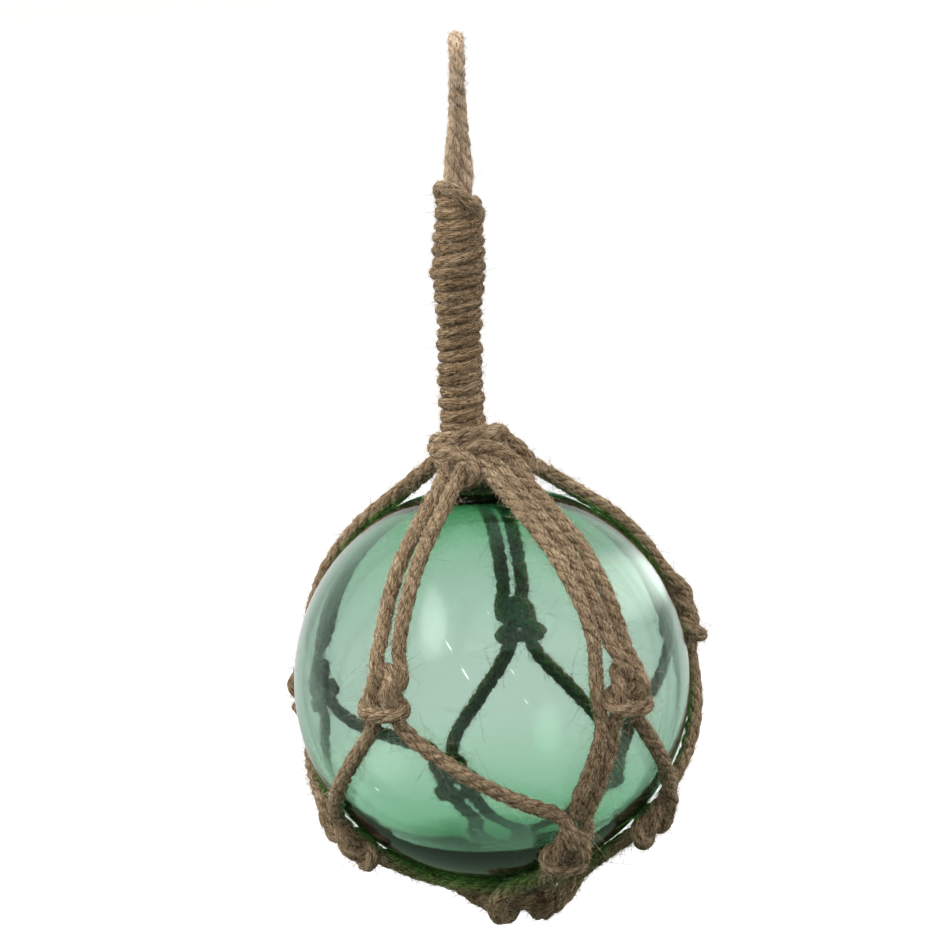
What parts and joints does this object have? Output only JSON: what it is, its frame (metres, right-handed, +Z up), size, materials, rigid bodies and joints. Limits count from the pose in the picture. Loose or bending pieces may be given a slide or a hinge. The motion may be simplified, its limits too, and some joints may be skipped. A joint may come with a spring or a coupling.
{
  "type": "glass float ball",
  "caption": "Blown green glass float in a knotted jute net, gathered at a lashed collar under a whipped neck with a hanging loop.",
  "frame": {"origin": "the hang point: the inside of the loop's top, where a hook carries the float", "axes": "+Z up along the hanging object, -Y towards the front, +X to the right seen from the front"},
  "size_m": [0.1597, 0.1625, 0.3371],
  "materials": {
    "float_glass": "clear, pale green, smooth",
    "jute_cord": "twisted, matt, with loose fibres"
  },
  "bodies": {
    "root": {"glass_ball": "float_glass", "net_top_cord": "jute_cord", "net_middle_cord": "jute_cord", "net_bottom_cord": "jute_cord", "net_extra_strand": "jute_cord", "bottom_ring": "jute_cord", "collar_lashing": "jute_cord", "neck_whipping": "jute_cord", "hanging_loop": "jute_cord"}
  },
  "joints": []
}
